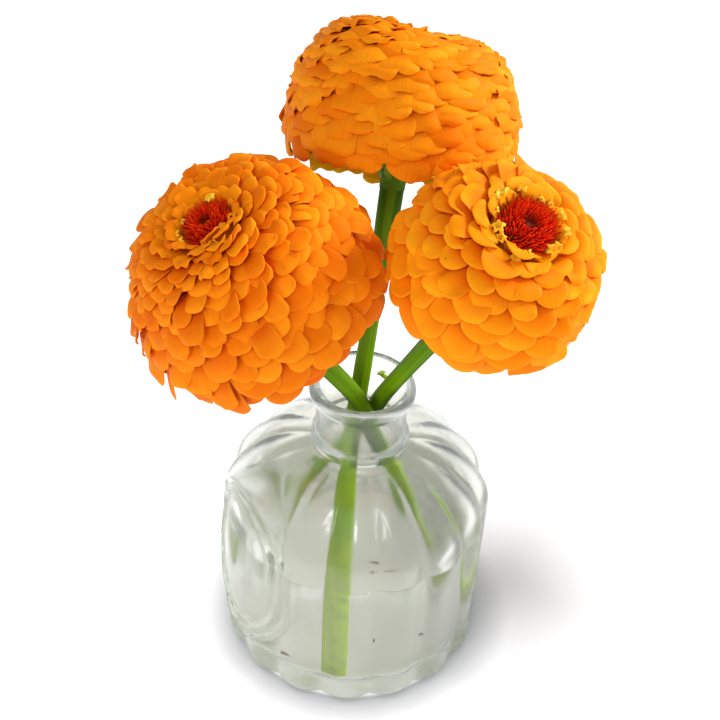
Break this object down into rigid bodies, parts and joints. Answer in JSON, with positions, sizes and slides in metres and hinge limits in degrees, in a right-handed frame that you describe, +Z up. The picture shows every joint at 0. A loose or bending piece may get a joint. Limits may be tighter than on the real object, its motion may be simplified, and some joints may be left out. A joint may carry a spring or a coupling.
{
  "type": "zinnia flowers in a vase",
  "caption": "Orange double zinnias with domed heads on ribbed green stems, standing in a small fluted clear glass bud vase with a blank oval plaque and water.",
  "frame": {"origin": "centre of the vase's flat underside", "axes": "+Z up along the vase's axis, -Y towards the front, +X to the viewer's right"},
  "size_m": [0.1188, 0.112, 0.1947],
  "materials": {
    "glass": "clear pressed soda glass, faintly grey-green in its thick edges, glossy, with soft flutes",
    "water": "clear still water",
    "stem": "fresh green stem, satin, ribbed lengthwise and finely haired",
    "bract": "overlapping green bracts with thin dark edges, satin",
    "receptacle": "pale green plant flesh, matte",
    "disc": "deep red bristles with small yellow florets round them, matte",
    "petals_left": "thick velvety orange petals, matte with a soft sheen",
    "petals_right": "thick velvety orange petals, matte with a soft sheen",
    "petals_back": "thick velvety orange petals, matte with a soft sheen"
  },
  "bodies": {
    "root": {"vase": "glass", "water": "water", "stem_left": "stem", "calyx_left": "bract", "receptacle_left": "receptacle", "disc_left": "disc", "petals_left_01": "petals_left", "petals_left_02": "petals_left", "petals_left_03": "petals_left", "petals_left_04": "petals_left", "petals_left_05": "petals_left", "petals_left_06": "petals_left", "petals_left_07": "petals_left", "petals_left_08": "petals_left", "petals_left_09": "petals_left", "stem_right": "stem", "calyx_right": "bract", "receptacle_right": "receptacle", "disc_right": "disc", "petals_right_01": "petals_right", "petals_right_02": "petals_right", "petals_right_03": "petals_right", "petals_right_04": "petals_right", "petals_right_05": "petals_right", "petals_right_06": "petals_right", "petals_right_07": "petals_right", "stem_back": "stem", "calyx_back": "bract", "receptacle_back": "receptacle", "disc_back": "disc", "petals_back_01": "petals_back", "petals_back_02": "petals_back", "petals_back_03": "petals_back", "petals_back_04": "petals_back", "petals_back_05": "petals_back", "petals_back_06": "petals_back", "petals_back_07": "petals_back", "petals_back_08": "petals_back", "petals_back_09": "petals_back", "petals_back_10": "petals_back"}
  },
  "joints": []
}
